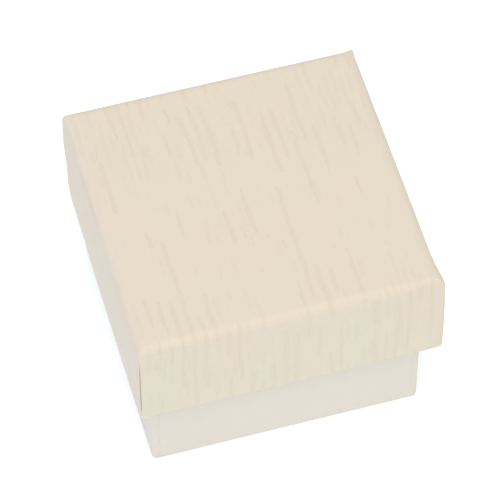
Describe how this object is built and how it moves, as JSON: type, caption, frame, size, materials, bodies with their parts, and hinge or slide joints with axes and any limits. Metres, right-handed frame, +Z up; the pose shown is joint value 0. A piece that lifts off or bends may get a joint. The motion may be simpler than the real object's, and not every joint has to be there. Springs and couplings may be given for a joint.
{
  "type": "jewelry gift box",
  "caption": "Small paper-covered rigid gift box for a ring or earrings: a telescoping lid lifts off a narrower base with a velvet-covered foam insert.",
  "frame": {"origin": "the middle of the closed box's footprint, on the surface it stands on", "axes": "+Z up through the lid's top, +X to the right along the box's slightly longer side, the front towards -Y"},
  "size_m": [0.051, 0.05, 0.037],
  "materials": {
    "greyboard": "matte",
    "cream_paper": "matte",
    "ivory_paper": "satin",
    "lining_paper": "matte",
    "kraft_tape": "matte",
    "foam": "matte",
    "velvet": "matte"
  },
  "bodies": {
    "base": {"base_board": "greyboard", "base_wrap": "ivory_paper", "base_liner": "lining_paper", "base_corner_stay_front_left": "kraft_tape", "base_corner_stay_front_right": "kraft_tape", "base_corner_stay_back_left": "kraft_tape", "base_corner_stay_back_right": "kraft_tape"},
    "lid": {"lid_board": "greyboard", "lid_wrap": "cream_paper", "lid_liner": "lining_paper", "lid_corner_stay_front_left": "kraft_tape", "lid_corner_stay_front_right": "kraft_tape", "lid_corner_stay_back_left": "kraft_tape", "lid_corner_stay_back_right": "kraft_tape"},
    "insert": {"insert_riser": "foam", "insert_foam": "foam", "insert_velvet": "velvet"}
  },
  "joints": [
    {"name": "lid_lift", "type": "slide", "parent": "base", "child": "lid", "axis": [0, 0, 1], "range_m": [0, 0.06]},
    {"name": "insert_lift", "type": "slide", "parent": "base", "child": "insert", "axis": [0, 0, 1], "range_m": [0, 0.015]}
  ]
}
